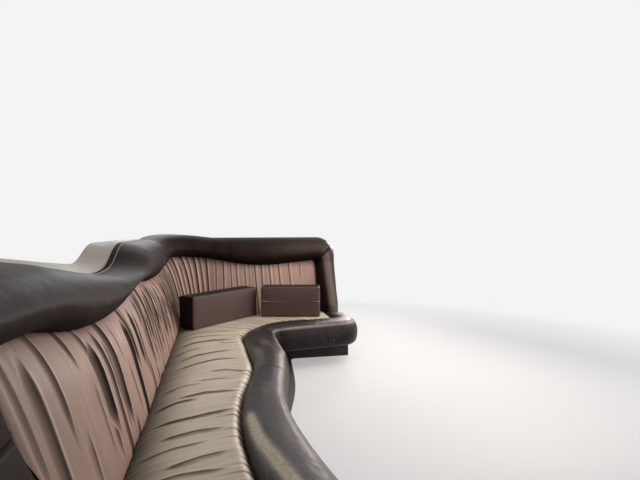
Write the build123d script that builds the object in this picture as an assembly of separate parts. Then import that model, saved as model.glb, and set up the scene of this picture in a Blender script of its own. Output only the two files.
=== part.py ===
from build123d import *

# J-shaped lounge seat from the rear cabin of a stretch limousine.
# A long side bench runs along the cabin wall and turns into a short rear bench. A plywood plinth
# and bulkheads carry a deck, raked back boards and ribs. On these sit a gathered seat pad, back
# pads, a front roll that waves in plan, a top roll that waves in height, end rolls, a padded arm
# and a ledge under the window sill. Two firm box cushions lie on the rear bench.
#
# Millimetres. X runs from the cabin wall to the aisle, Y to the rear bench, Z up from the floor.
# The origin is on the floor under the middle of the whole seat.

import math
import os

# Outer box
WIDTH = 1470
LENGTH = 2840
X_WALL = -WIDTH / 2
X_END = WIDTH / 2
Y_NEAR = -LENGTH / 2
Y_REAR = LENGTH / 2

# Boards and heights above the floor
PLY = 15
DECK_PLY = 18
DECK_TOP = 130
DECK_BOTTOM = DECK_TOP - DECK_PLY
SEAT_TOP = 250
RIB_TOP = 600
BULKHEAD_COUNT = 5
REAR_RIBS = 3
RAIL = 40

# Backrest: upright to the knee, then raked; the crease is where seat pad and back pad meet
KNEE_Z = 235
RAKE = 0.36
SIDE_CREASE = 345
REAR_CREASE = 260
CORNER_R = 200
PAD_THICK = 80
X_CREASE = X_WALL + SIDE_CREASE
Y_CREASE = Y_REAR - REAR_CREASE
X_TURN = X_CREASE + CORNER_R
Y_TURN = Y_CREASE - CORNER_R

# Top roll: how far its front and back lie out from the crease
ROLL_FRONT = 72
ROLL_BACK = 247
ROLL_R = 22
REAR_CREST = 778
CORNER_CREST = 806
CORNER_CREST_R = 1160
CORNER_ARCH_R = 900
CORNER_ARCH_TOP = 655

# Ends
ARM_THICK = 130
Y_PAD_NEAR = Y_NEAR + ARM_THICK
FIRST_BULKHEAD = Y_PAD_NEAR + 290
LAST_BULKHEAD = Y_TURN - 30
END_ROLL_WIDTH = 157
SEAT_END_X = X_END - END_ROLL_WIDTH
ARM_HEAD_Z = 505
NOSE_R = 40
NOSE_X = 100
NOSE_SLANT = 10
NOSE_LAP = 80
WRAP_END_Y = 1015
END_ROLL_CORNER_R = 130
END_ROLL_KNEE_Z = 300
END_ROLL_HEAD_Z = 640
END_ROLL_R = 40
MITRE_Z = 614

# Front roll
FRONT_ROLL_TOP = 262
FRONT_ROLL_BOTTOM = DECK_BOTTOM
FRONT_OUTER_R = 50
FRONT_BOTTOM_R = 30
DECK_INSET = 40
FRONT_JOINT_Y = -205
FRONT_JOINT_SKEW = -60
KICK_INSET = 40

# Box cushions: length, depth, height, turn and the front lower edge's left end
CUSHIONS = {
    "box_cushion_left": dict(size=(575, 128, 195), turn=45.0, at=(-294, 646)),
    "box_cushion_right": dict(size=(398, 125, 205), turn=-12.6, at=(130, 969)),
}
CUSHION_R = 14

# Floor brackets
BRACKET = 44
BRACKET_T = 4
BRACKET_LONG = 70
BOLT_R = 5.5
BOLT_X = (X_WALL + 135, X_CREASE + 290)

FAR = 3000
NEAR_ENOUGH = 0.1

# Wavy lines, as corners of an open polyline with the radius that rounds each corner
# Seat pad's front border in plan: x, y, radius
PAD_BORDER = [
    (-24, Y_PAD_NEAR, 0),
    (-120, -723, 1771),
    (-4, -168, 791),
    (-23, 411, 222),
    (69, 757, 418),
    (SEAT_END_X, 789, 40),
    (SEAT_END_X, WRAP_END_Y, 0),
]
# Front roll's outer edge in plan: x, y, radius
ROLL_BORDER = [
    (170, Y_PAD_NEAR, 0),
    (60, -646, 1102),
    (178, 70, 471),
    (174, 528, 65),
    (X_END - 4, 634, 130),
    (X_END, WRAP_END_Y, 0),
]
# Kick board's foot and head in plan: x, y, radius
KICK_FOOT = [
    (NOSE_X, Y_NEAR + PLY, 0),
    (50, -503, 1051),
    (251, 256, 2567),
    (308, 810, 40),
    (X_END - KICK_INSET, 810, 0),
]
KICK_HEAD = [
    (NOSE_X - NOSE_SLANT, Y_NEAR + PLY, 0),
    (20, -503, 1051),
    (130, 256, 2567),
    (126, 810, 40),
    (X_END - KICK_INSET, 810, 0),
]
# Top roll's lower edge along the side bench: y, z, radius
SIDE_LOWER = [
    (Y_NEAR, 668, 0),
    (-1177, 659, 1116),
    (-706, 556, 1566),
    (-97, 638, 1242),
    (388, 570, 2274),
    (987, 609, 0),
]
# Top roll's upper edge along the side bench: y, z, radius
SIDE_UPPER = [
    (Y_NEAR, 795, 0),
    (-1044, 781, 905),
    (-221, 664, 1750),
    (50, 680, 425),
    (246, 778, 530),
    (Y_TURN, REAR_CREST, 0),
]
# Ledge's top along the window sill: y, z, radius
SILL_LINE = [
    (Y_NEAR, 802, 0),
    (-900, 788, 900),
    (-430, 738, 900),
    (-70, 703, 380),
    (150, 784, 400),
    (Y_TURN, 772, 0),
]
# Top roll's lower edge along the rear bench: x, z, radius
REAR_LOWER = [
    (X_TURN, 628, 0),
    (129, 569, 1272),
    (SEAT_END_X, MITRE_Z, 0),
]
# Arm at the near end, seen along the bench: x, z, radius
ARM_TOP = [
    (X_CREASE - RAKE * (ARM_HEAD_Z - KNEE_Z), ARM_HEAD_Z, 0),
    (-440, 405, 40),
    (NOSE_X + NOSE_SLANT, 330, 60),
    (125, DECK_TOP, 0),
]


def rounded(table):
    """Open line through the corners of a table, each corner rounded."""
    return FilletPolyline(*[(a, b) for a, b, _ in table], radius=[r for *_, r in table[1:-1]])


def region(table, *back):
    """Face between a rounded line and the straight run back to its start through more points."""
    line = rounded(table)
    return make_face([line, Polyline(line @ 1, *back, line @ 0)])


def under(table, plane):
    """Everything below a wavy line drawn in a vertical plane, reaching far across that plane."""
    line = rounded(table)
    start, end = line @ 0, line @ 1
    ring = Polyline(end, (end.X + FAR, end.Y), (end.X + FAR, -FAR), (start.X - FAR, -FAR),
                    (start.X - FAR, start.Y), start)
    return extrude(plane * make_face([line, ring]), FAR, both=True)


def block(x0, x1, y0, y1, z0, z1):
    """Box between limits."""
    return Pos((x0 + x1) / 2, (y0 + y1) / 2, (z0 + z1) / 2) * Box(x1 - x0, y1 - y0, z1 - z0)


def raked(front, back, low, high):
    """Section of one layer of the backrest, as distances out from the crease and heights."""
    lean = RAKE * (high - KNEE_Z)
    return [(front, low), (front, KNEE_Z), (front + lean, high), (back + lean, high),
            (back, KNEE_Z), (back, low)]


def upright(front, back, low, high):
    """Section with upright front and back."""
    return [(front, low), (front, high), (back, high), (back, low)]


def along_side(section, y0, y1):
    """A section of the backrest, run along the side bench."""
    face = Plane.XZ * make_face(Polyline(*[(X_CREASE - r, z) for r, z in section], close=True))
    return Pos(0, y1, 0) * extrude(face, y1 - y0)


def along_rear(section, x0, x1):
    """A section of the backrest, run along the rear bench."""
    face = Plane.YZ * make_face(Polyline(*[(Y_CREASE + r, z) for r, z in section], close=True))
    return Pos(x0, 0, 0) * extrude(face, x1 - x0)


def round_corner(section):
    """A section of the backrest, turned about the corner between the two benches."""
    face = Plane.XZ * make_face(Polyline(*[(-CORNER_R - r, z) for r, z in section], close=True))
    return Pos(X_TURN, Y_TURN, 0) * revolve(face, Axis.Z, -90)


def arched(top, radius):
    """A drum lying along the corner's diagonal, its top at the given height."""
    return Pos(X_TURN, Y_TURN, top - radius) * Rot(0, 0, 135) * Rot(0, 90, 0) * Cylinder(radius, FAR)


def meets(a, b):
    """Whether two measures are the same, give or take rounding."""
    return abs(a - b) < NEAR_ENOUGH


def soften(solid, radius, pick):
    """Round the edges that a test picks."""
    return fillet([e for e in solid.edges() if pick(e)], radius)


def one(shape):
    """The single solid in a result."""
    return max(shape.solids(), key=lambda s: s.volume)


low_side = under(SIDE_LOWER, Plane.YZ)
high_side = under(SIDE_UPPER, Plane.YZ)
low_rear = under(REAR_LOWER, Plane.XZ)
low_corner = arched(CORNER_ARCH_TOP, CORNER_ARCH_R)
high_corner = arched(CORNER_CREST, CORNER_CREST_R)

parts = {}
step = (LAST_BULKHEAD - FIRST_BULKHEAD) / (BULKHEAD_COUNT - 1)
bulkheads = [FIRST_BULKHEAD + n * step for n in range(BULKHEAD_COUNT)]

# Plinth: a ring of boards whose front flares out at the foot
back_run = [(X_END - KICK_INSET, Y_REAR - PLY), (X_WALL + PLY, Y_REAR - PLY),
            (X_WALL + PLY, Y_NEAR + PLY)]
kick_foot = region(KICK_FOOT, *back_run)
kick_head = region(KICK_HEAD, *back_run)
outer = loft([kick_foot, Pos(0, 0, DECK_BOTTOM) * kick_head], ruled=True)
inner = loft([offset(kick_foot, -PLY), Pos(0, 0, DECK_BOTTOM) * offset(kick_head, -PLY)], ruled=True)
parts["plinth"] = one(outer - inner)
for n, y in enumerate(bulkheads, 1):
    parts[f"bulkhead_{n}"] = one(block(-FAR, FAR, y, y + PLY, 0, DECK_BOTTOM) & inner)

# Deck: reaches under the front roll
deck_front = region(ROLL_BORDER, (X_END, Y_REAR), (X_WALL, Y_REAR), (X_WALL, Y_PAD_NEAR))
nose = [(X_WALL, Y_NEAR, 0), (NOSE_X, Y_NEAR, NOSE_R), (NOSE_X + NOSE_SLANT, Y_PAD_NEAR + NOSE_LAP, 0)]
deck = offset(deck_front, -DECK_INSET) + region(nose, (X_WALL, Y_PAD_NEAR + NOSE_LAP))
deck += make_face(Polyline((X_WALL, Y_NEAR), (X_CREASE, Y_NEAR), (X_CREASE, Y_CREASE),
                           (X_END - DECK_INSET, Y_CREASE), (X_END - DECK_INSET, Y_REAR),
                           (X_WALL, Y_REAR), close=True))
parts["deck"] = one(extrude(Pos(0, 0, DECK_BOTTOM) * deck, DECK_PLY))

# Back boards and the pads in front of them
board = raked(PAD_THICK, PAD_THICK + PLY, DECK_TOP, CORNER_CREST)
pad = raked(0, PAD_THICK, DECK_TOP, CORNER_CREST)
for name, section in (("back_board", board), ("back_pad", pad)):
    parts[name + "_side"] = one(along_side(section, Y_PAD_NEAR, Y_TURN) & low_side)
    parts[name + "_corner"] = one(round_corner(section) & low_corner)
    parts[name + "_rear"] = one(along_rear(section, X_TURN, SEAT_END_X) & low_rear)

parts["back_board_side"] = one(parts["back_board_side"] & block(
    X_CREASE - ROLL_BACK, X_CREASE, Y_NEAR, Y_REAR, 0, FAR))

# Rail on the cabin wall, along the heads of the ribs
parts["wall_rail"] = block(X_WALL, X_WALL + RAIL, Y_NEAR, Y_TURN, RIB_TOP - RAIL, RIB_TOP)

# Seat pad
border = rounded(PAD_BORDER)
crease = [
    Line((SEAT_END_X, WRAP_END_Y), (SEAT_END_X, Y_CREASE)),
    Line((SEAT_END_X, Y_CREASE), (X_TURN, Y_CREASE)),
    CenterArc((X_TURN, Y_TURN), CORNER_R, 90, 90),
    Line((X_CREASE, Y_TURN), (X_CREASE, Y_PAD_NEAR)),
    Line((X_CREASE, Y_PAD_NEAR), border @ 0),
]
seat = extrude(Pos(0, 0, DECK_TOP) * make_face([border, *crease]), SEAT_TOP - DECK_TOP)
parts["seat_pad"] = one(seat)

# Front roll, cut from a band between the two borders and split at its sewn joint
outside = region(ROLL_BORDER, (X_END, Y_REAR), (X_WALL, Y_REAR), (X_WALL, Y_PAD_NEAR))
inside = region(PAD_BORDER, (SEAT_END_X, Y_REAR), (X_WALL, Y_REAR), (X_WALL, Y_PAD_NEAR))
band = outside - inside
band -= make_face(Polyline((-FAR, WRAP_END_Y), (FAR, WRAP_END_Y), (FAR, FAR), (-FAR, FAR), close=True))
roll = one(extrude(Pos(0, 0, FRONT_ROLL_BOTTOM) * band, FRONT_ROLL_TOP - FRONT_ROLL_BOTTOM))
outer_line = rounded(ROLL_BORDER)


def on_outer(edge, z):
    """Whether an edge runs along the front roll's outer side at a height."""
    middle = edge @ 0.5
    flat = Vector(middle.X, middle.Y, 0)
    return meets(middle.Z, z) and meets(outer_line.distance_to(Vertex(flat)), 0)


roll = soften(roll, FRONT_OUTER_R, lambda e: on_outer(e, FRONT_ROLL_TOP))
roll = soften(roll, FRONT_BOTTOM_R, lambda e: on_outer(e, FRONT_ROLL_BOTTOM))
roll = one(roll - parts["deck"])
cut = make_face(Polyline((-FAR, -FAR), (FAR, -FAR), (FAR, FRONT_JOINT_Y + FRONT_JOINT_SKEW),
                         (0, FRONT_JOINT_Y), (-FAR, FRONT_JOINT_Y), close=True))
near_side = extrude(cut, FAR, both=True)
parts["front_roll_near"] = one(roll & near_side)
parts["front_roll_main"] = one(roll - near_side)

# Top roll
roll_section = upright(ROLL_FRONT, ROLL_BACK, KNEE_Z, FAR)
side = one((along_side(roll_section, Y_NEAR, Y_TURN) & high_side) - low_side)
front_x = X_CREASE - ROLL_FRONT


def long_edge(edge, on_front):
    """Whether an edge runs along a roll's front face, above or below."""
    a, b = edge @ 0, edge @ 1
    return on_front(a) and on_front(b) and not meets(math.hypot(b.X - a.X, b.Y - a.Y), 0)


def on_inner(p):
    """Whether a point lies on the front face of the corner's roll."""
    return meets(math.hypot(p.X - X_TURN, p.Y - Y_TURN), CORNER_R + ROLL_FRONT)


side = soften(side, ROLL_R, lambda e: long_edge(e, lambda p: meets(p.X, front_x)))
parts["top_roll_side"] = one(side)
corner = one((round_corner(roll_section) & high_corner) - low_corner)
parts["top_roll_corner"] = one(soften(corner, ROLL_R, lambda e: long_edge(e, on_inner)))

# Ribs between the back boards and the cabin wall
rib_section = [(PAD_THICK + PLY, DECK_TOP), (PAD_THICK + PLY, KNEE_Z),
               (PAD_THICK + PLY + RAKE * (RIB_TOP - KNEE_Z), RIB_TOP),
               (SIDE_CREASE, RIB_TOP), (SIDE_CREASE, DECK_TOP)]
for n, y in enumerate(bulkheads, 1):
    rib = along_side(rib_section, y, y + PLY) - parts["top_roll_side"] - parts["wall_rail"]
    parts[f"rib_{n}"] = one(rib)

# The rear roll turns down into the end roll at a mitre
front_y = Y_CREASE + ROLL_FRONT
reach = X_END - SEAT_END_X
below_mitre = extrude(Plane.XZ * make_face(Polyline(
    (SEAT_END_X, MITRE_Z), (X_END + reach, MITRE_Z + 2 * reach), (X_END + reach, 0),
    (SEAT_END_X, 0), close=True)), FAR, both=True)


def crest_corner(solid):
    """Round the outer upper corner that the rear roll and the end roll share."""
    return soften(solid, END_ROLL_CORNER_R, lambda e: meets((e @ 0.5).X, X_END)
                  and meets((e @ 0.5).Z, REAR_CREST))


def rear_front(edge):
    """Whether an edge runs along the rear roll's front face, short of the end roll."""
    return long_edge(edge, lambda p: meets(p.Y, front_y)) and (edge @ 0.5).X < SEAT_END_X


def rising_front(edge, x):
    """Whether an edge climbs the end roll's front at one of its sides."""
    middle = edge @ 0.5
    return meets(middle.X, x) and DECK_TOP < middle.Z < END_ROLL_HEAD_Z and middle.Y < front_y


rear = block(X_TURN, X_END, front_y, Y_REAR, KNEE_Z, REAR_CREST) - low_rear
rear = crest_corner(one(rear - block(SEAT_END_X, X_END, 0, FAR, 0, MITRE_Z)))
rear = soften(rear, ROLL_R, rear_front)
parts["top_roll_rear"] = one(rear - below_mitre)

post = extrude(Plane.YZ * make_face(Polyline(
    (WRAP_END_Y, DECK_TOP), (WRAP_END_Y, END_ROLL_KNEE_Z), (front_y, END_ROLL_HEAD_Z),
    (front_y, REAR_CREST), (Y_REAR, REAR_CREST), (Y_REAR, DECK_TOP), close=True)), reach)
post = crest_corner(Pos(SEAT_END_X, 0, 0) * post)
for x in (SEAT_END_X, X_END):
    post = soften(post, END_ROLL_R, lambda e: rising_front(e, x))
parts["end_roll_right"] = one(post & below_mitre)

# Ribs behind the rear bench, up to its roll
rear_section = [(PAD_THICK + PLY, DECK_TOP), (PAD_THICK + PLY, KNEE_Z),
                (PAD_THICK + PLY + RAKE * (RIB_TOP - KNEE_Z), RIB_TOP),
                (REAR_CREASE, RIB_TOP), (REAR_CREASE, DECK_TOP)]
for n in range(REAR_RIBS):
    x = X_TURN + n * (SEAT_END_X - PLY - X_TURN) / (REAR_RIBS - 1)
    rib = along_rear(rear_section, x, x + PLY) - parts["top_roll_rear"]
    parts[f"rear_rib_{n + 1}"] = one(rib)

# Ledge: falls from the window sill to the top roll's back edge
foot = ((Y_TURN, RIB_TOP), (Y_NEAR, RIB_TOP))
sill = Pos(X_WALL, 0, 0) * (Plane.YZ * region(SILL_LINE, *foot))
seam = Pos(X_CREASE - ROLL_BACK, 0, 0) * (Plane.YZ * region(SIDE_UPPER, *foot))
parts["ledge"] = one(loft([sill, seam], ruled=True))

# Near end: an arm across the bench, and an upright roll above it, flush with the back pad
arm = extrude(Plane.XZ * region(ARM_TOP, (X_WALL, DECK_TOP), (X_WALL, ARM_HEAD_Z)), ARM_THICK)
parts["arm_near"] = one(Pos(0, Y_PAD_NEAR, 0) * arm)
riser = along_side([(RAKE * (ARM_HEAD_Z - KNEE_Z), ARM_HEAD_Z), (RAKE * (REAR_CREST - KNEE_Z), REAR_CREST),
                    (SIDE_CREASE, REAR_CREST), (SIDE_CREASE, ARM_HEAD_Z)], Y_NEAR, Y_PAD_NEAR)
riser = (riser & low_side) - parts["wall_rail"] - parts["ledge"]
parts["end_roll_near"] = one(riser)

# Box cushions standing on the rear bench
for name, c in CUSHIONS.items():
    long, deep, tall = c["size"]
    shape = fillet(Box(long, deep, tall).edges(), CUSHION_R)
    placed = Pos(*c["at"], SEAT_TOP) * Rot(0, 0, c["turn"]) * Pos(long / 2, deep / 2, tall / 2)
    parts[name] = placed * shape

# Steel angles that hold the plinth to the floor
for i, x in enumerate(BOLT_X):
    for j, y in enumerate((bulkheads[0], bulkheads[3])):
        flat = block(x - BRACKET_LONG / 2, x + BRACKET_LONG / 2, y - BRACKET, y, 0, BRACKET_T)
        wall = block(x - BRACKET_LONG / 2, x + BRACKET_LONG / 2, y - BRACKET_T, y, 0, BRACKET)
        hole = Pos(x, y - BRACKET / 2, 0) * Cylinder(BOLT_R, 4 * BRACKET_T)
        parts[f"floor_angle_{i * 2 + j + 1}"] = flat + wall - hole

os.makedirs("parts", exist_ok=True)
for name, shape in parts.items():
    export_step(shape, f"parts/{name}.step")
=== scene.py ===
import math

import bpy
import numpy as np
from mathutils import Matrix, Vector


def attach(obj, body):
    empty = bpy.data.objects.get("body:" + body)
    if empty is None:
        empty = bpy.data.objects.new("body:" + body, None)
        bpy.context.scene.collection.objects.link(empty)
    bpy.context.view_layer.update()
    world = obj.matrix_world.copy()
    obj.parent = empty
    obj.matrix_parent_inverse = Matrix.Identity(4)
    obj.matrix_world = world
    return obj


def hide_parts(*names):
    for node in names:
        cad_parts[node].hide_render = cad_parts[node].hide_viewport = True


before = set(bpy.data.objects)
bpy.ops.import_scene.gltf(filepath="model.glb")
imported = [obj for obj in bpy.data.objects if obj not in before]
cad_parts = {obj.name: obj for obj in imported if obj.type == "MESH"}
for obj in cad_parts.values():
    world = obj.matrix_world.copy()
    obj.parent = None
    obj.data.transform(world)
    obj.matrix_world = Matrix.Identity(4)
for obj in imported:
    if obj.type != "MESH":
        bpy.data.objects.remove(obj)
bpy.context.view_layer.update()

# Camera: the photograph's place and angle, in the part's frame
EYE = (-0.1625, -2.13, 0.85)
cam_data = bpy.data.cameras.new("camera")
cam_data.sensor_width = 36
cam_data.lens = 25.875
cam_data.clip_start = 0.05
camera = bpy.data.objects.new("camera", cam_data)
camera.location = EYE
camera.rotation_euler = (math.radians(90 - 1.494), 0, math.radians(-12.735))
bpy.context.scene.collection.objects.link(camera)
bpy.context.scene.camera = camera

# Main sizes of the frame, metres
X_WALL, X_END = -0.735, 0.735
Y_NEAR = -1.42
X_CREASE, Y_CREASE = -0.390, 1.160
CORNER_R = 0.200
X_TURN, Y_TURN = X_CREASE + CORNER_R, Y_CREASE - CORNER_R
KNEE_Z, RAKE = 0.235, 0.36
SEAT_TOP, DECK_TOP = 0.250, 0.130
Y_PAD_NEAR = -1.290
SEAT_END_X = 0.578
ROLL_BACK = 0.247
REAR_CREST = 0.778
ARM_HEAD_Z = 0.505
RAIL = 0.040


# Small tools
def smooth(x, lo, hi):
    """0 at lo, 1 at hi, smooth between."""
    t = np.clip((np.asarray(x, float) - lo) / (hi - lo), 0, 1)
    return t * t * (3 - 2 * t)


def bell(x, width):
    """1 at zero, and close to 0 beyond twice the width on either side."""
    return np.exp(-(x / width) ** 2)


def window(x, a, b, c, d):
    """0 up to a, 1 from b to c and 0 again from d on, smooth between."""
    return smooth(x, a, b) * (1 - smooth(x, c, d))


def ripple(x):
    """0 at whole numbers and 1 midway between them."""
    return np.abs(np.sin(x * math.pi))


def columns(values, count):
    """One value per ring, repeated for each of the ring's points."""
    return np.asarray(values)[:, None] * np.ones((1, count))


def noise(x, y, seed):
    """Smooth value noise in two dimensions, about -1 to 1, period one unit."""
    x, y = np.broadcast_arrays(np.asarray(x, float), np.asarray(y, float))
    lattice = np.random.default_rng(seed).uniform(-1, 1, (256, 256))
    xi, yi = np.floor(x).astype(int), np.floor(y).astype(int)
    fx, fy = x - xi, y - yi
    fx, fy = fx * fx * (3 - 2 * fx), fy * fy * (3 - 2 * fy)

    def at(i, j):
        return lattice[i % 256, j % 256]

    top = at(xi, yi) * (1 - fx) + at(xi + 1, yi) * fx
    low = at(xi, yi + 1) * (1 - fx) + at(xi + 1, yi + 1) * fx
    return top * (1 - fy) + low * fy


def lumps(x, y, *rows):
    """Layers of noise added up; each row is a height, the two frequencies and a seed."""
    return sum(height * noise(x * fx, y * fy, seed) for height, fx, fy, seed in rows)


def lengths(path):
    """Length travelled at each point of a path."""
    steps = np.linalg.norm(np.diff(path, axis=0), axis=1)
    return np.concatenate([[0], np.cumsum(steps)])


def along(path, count=None, at=None):
    """Resample a path by its length, evenly or at given fractions."""
    path = np.asarray(path, float)
    d = lengths(path)
    f = np.linspace(0, 1, count) if at is None else np.asarray(at)
    return np.stack([np.interp(f * d[-1], d, path[:, k]) for k in range(path.shape[1])], -1)


def spline(ctrl, per=10):
    """Smooth open curve through control points."""
    p = np.array(ctrl, float)
    p = np.concatenate([[2 * p[0] - p[1]], p, [2 * p[-1] - p[-2]]])
    t = np.linspace(0, 1, per, endpoint=False)[:, None]
    out = []
    for i in range(1, len(p) - 2):
        a, b, c, d = p[i - 1:i + 3]
        out.append(0.5 * (2 * b + (c - a) * t + (2 * a - 5 * b + 4 * c - d) * t ** 2
                          + (3 * b - a - 3 * c + d) * t ** 3))
    return np.concatenate(out + [p[-2:-1]])


def rounded(table, n=14):
    """A polyline with rounded corners, from rows of a, b, radius in millimetres."""
    pts = [np.array(row[:2], float) for row in table]
    out = [pts[0]]
    for i in range(1, len(pts) - 1):
        p, q, s = pts[i - 1], pts[i], pts[i + 1]
        a = (p - q) / np.linalg.norm(p - q)
        b = (s - q) / np.linalg.norm(s - q)
        half = math.acos(float(a @ b)) / 2
        r = table[i][2]
        start = q + a * r / math.tan(half)
        end = q + b * r / math.tan(half)
        c = q + (a + b) / np.linalg.norm(a + b) * r / math.sin(half)
        a0 = math.atan2(start[1] - c[1], start[0] - c[0])
        a1 = math.atan2(end[1] - c[1], end[0] - c[0])
        turn = (a1 - a0 + math.pi) % (2 * math.pi) - math.pi
        for w in a0 + turn * np.linspace(0, 1, n + 1):
            out.append(c + r * np.array([math.cos(w), math.sin(w)]))
    out.append(pts[-1])
    return np.array(out) / 1000


def height_of(table):
    """A wavy line as a function: the second coordinate at a first one."""
    pts = rounded(table)
    order = np.argsort(pts[:, 0])
    return lambda v: np.interp(v, pts[order, 0], pts[order, 1])


def normals(P):
    """Unit normals of a grid of points, turned outward from each ring's middle."""
    n = np.cross(np.gradient(P, axis=0), np.gradient(P, axis=1))
    n /= np.maximum(np.linalg.norm(n, axis=-1, keepdims=True), 1e-9)
    out = ((P - P.mean(axis=1, keepdims=True)) * n).sum(-1, keepdims=True)
    return np.where(out < 0, -n, n)


# Wavy lines shared with the solids, in millimetres: x, y and corner radius of the two borders in
# plan, then place along the bench, height and corner radius of the four lines of height
PAD_BORDER = rounded([(-24, -1290, 0), (-120, -723, 1771), (-4, -168, 791), (-23, 411, 222),
                      (69, 757, 418), (578, 789, 40), (578, 1015, 0)])
ROLL_BORDER = rounded([(170, -1290, 0), (60, -646, 1102), (178, 70, 471), (174, 528, 65),
                       (731, 634, 130), (735, 1015, 0)])
side_low = height_of([(-1420, 668, 0), (-1177, 659, 1116), (-706, 556, 1566), (-97, 638, 1242),
                      (388, 570, 2274), (987, 609, 0)])
side_high = height_of([(-1420, 795, 0), (-1044, 781, 905), (-221, 664, 1750), (50, 680, 425),
                       (246, 778, 530), (960, 778, 0)])
sill_high = height_of([(-1420, 802, 0), (-900, 788, 900), (-430, 738, 900), (-70, 703, 380),
                       (150, 784, 400), (960, 772, 0)])
rear_low = height_of([(-190, 628, 0), (129, 569, 1272), (578, 614, 0)])


# Meshes
STITCH_START, STITCH_LONG, STITCH_GAP = 0.0020, 0.0060, 0.0030


def make_mesh(name, verts, faces, slot, material, **shades):
    """A smooth piece on the root body; each shade is a number per vertex that its material reads."""
    mesh = bpy.data.meshes.new(name)
    mesh.from_pydata([tuple(v) for v in verts], [], [tuple(f) for f in faces])
    mesh.validate()
    mesh.materials.append(material)
    mesh.polygons.foreach_set("use_smooth", [True] * len(mesh.polygons))
    for key, values in shades.items():
        mesh.attributes.new(key, "FLOAT", "POINT").data.foreach_set("value", values.ravel())
    obj = bpy.data.objects.new(name, mesh)
    bpy.context.scene.collection.objects.link(obj)
    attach(obj, "root")
    return obj


def grid_faces(n, m, start=0, wrap=False, flip=False):
    """Quads of an n by m grid of points; wrap joins the last column to the first."""
    faces = []
    for i in range(n - 1):
        a = start + i * m
        for j in range(m if wrap else m - 1):
            k = (j + 1) % m
            quad = (a + j, a + k, a + m + k, a + m + j)
            faces.append(quad[::-1] if flip else quad)
    return faces


def tube(name, P, slot, material, **shades):
    """Closed body from rings of points P[n, m, 3], with the two ends capped."""
    n, m = P.shape[:2]
    flux = np.cross(np.roll(P, -1, 1)[:-1] - P[:-1], P[1:] - P[:-1])
    flip = float((flux * (P[:-1] - P.mean((0, 1)))).sum()) < 0
    faces = grid_faces(n, m, wrap=True, flip=flip)
    first = tuple(range(m))
    last = tuple((n - 1) * m + k for k in range(m))
    faces.append(first if flip else first[::-1])
    faces.append(last[::-1] if flip else last)
    return make_mesh(name, P.reshape(-1, 3), faces, slot, material, **shades)


def slab(name, front, back, slot, material, **shades):
    """Closed body between a front grid and a back one, which keeps four of its columns."""
    last = back.shape[1] - 1
    back = back[:, [last, 2 * last // 3, last // 3, 0]]
    shades = {key: np.pad(grid, ((0, 0), (0, 4)), mode="edge") for key, grid in shades.items()}
    return tube(name, np.concatenate([front, back], axis=1), slot, material, **shades)


def rings_round(path, tangent, radius, sides):
    """Rings of points round a path; tangent and radius are the same all along or one per point."""
    tangent = tangent / np.linalg.norm(tangent, axis=1, keepdims=True)
    side = np.cross(tangent, (0, 0, 1.0))
    side /= np.maximum(np.linalg.norm(side, axis=1, keepdims=True), 1e-6)
    over = np.cross(side, tangent)
    a = np.linspace(0, 2 * math.pi, sides, endpoint=False)[:, None]
    ring = np.cos(a) * side[:, None] + np.sin(a) * over[:, None]
    return path[:, None] + np.reshape(radius, (-1, 1, 1)) * ring


def rope(name, path, radius, slot, material, sides=8):
    """Round cord sewn along a path, its ends capped."""
    ring = rings_round(path, np.gradient(path, axis=0), radius, sides)
    return tube(name, ring, slot, material)


def stitches(name, path, slot, material, radius):
    """A row of short raised stitches along a path, each of them thinner at its two ends."""
    d = lengths(path)
    verts, faces = [], []
    for s in np.arange(STITCH_START, d[-1] - STITCH_LONG, STITCH_LONG + STITCH_GAP):
        places = s + STITCH_LONG * np.array([0, 0.25, 0.75, 1])
        line = np.stack([np.interp(places, d, path[:, k]) for k in range(3)], -1)
        thick = radius * np.array([0.35, 1, 1, 0.35])
        start = len(verts)
        verts += list(rings_round(line, line[-1:] - line[:1], thick, 5).reshape(-1, 3))
        faces += grid_faces(4, 5, start, wrap=True)
        faces += [tuple(range(start, start + 5))[::-1], tuple(range(start + 15, start + 20))]
    return make_mesh(name, verts, faces, slot, material)


# Materials
def new_material(name):
    mat = bpy.data.materials.new(name)
    mat.use_nodes = True
    return mat, mat.node_tree, mat.node_tree.nodes["Principled BSDF"]


def plug(nt, value, socket):
    """Give an input its value: another node's output, a number or a colour."""
    if isinstance(value, bpy.types.NodeSocket):
        nt.links.new(value, socket)
    else:
        socket.default_value = value


def feed(nt, node, **values):
    """Set properties and inputs of a node by their names, and give it back."""
    for key, value in values.items():
        if key in node.bl_rna.properties:
            setattr(node, key, value)
        else:
            plug(nt, value, node.inputs[key.replace("_", " ")])
    return node


def add(nt, kind, **values):
    """A new node with some properties and inputs set."""
    return feed(nt, nt.nodes.new("ShaderNode" + kind), **values)


def srgb(r, g, b):
    linear = [c / 12.92 if c <= 0.04045 else ((c + 0.055) / 1.055) ** 2.4
              for c in (r / 255, g / 255, b / 255)]
    return (*linear, 1)


def remap(nt, source, lo, hi, to_lo, to_hi):
    """A value mapped from one range to another, clamped."""
    node = add(nt, "MapRange", Value=source, From_Min=lo, From_Max=hi, To_Min=to_lo, To_Max=to_hi)
    return node.outputs["Result"]


def mixed(nt, factor, a, b, blend="MIX"):
    """Two colours mixed by a factor; each of the three is a number, a colour or a socket."""
    node = add(nt, "Mix", data_type="RGBA", blend_type=blend)
    for value, socket in zip((factor, a, b), [s for s in node.inputs if s.enabled]):
        plug(nt, value, socket)
    return [s for s in node.outputs if s.enabled][0]


def calc(nt, operation, *values):
    """One step of arithmetic, on sockets or numbers."""
    node = add(nt, "Math", operation=operation)
    for value, socket in zip(values, node.inputs):
        plug(nt, value, socket)
    return node.outputs[0]


def carried(nt, name):
    """A number that the mesh carries for each of its vertices."""
    return add(nt, "Attribute", attribute_name=name).outputs["Fac"]


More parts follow.
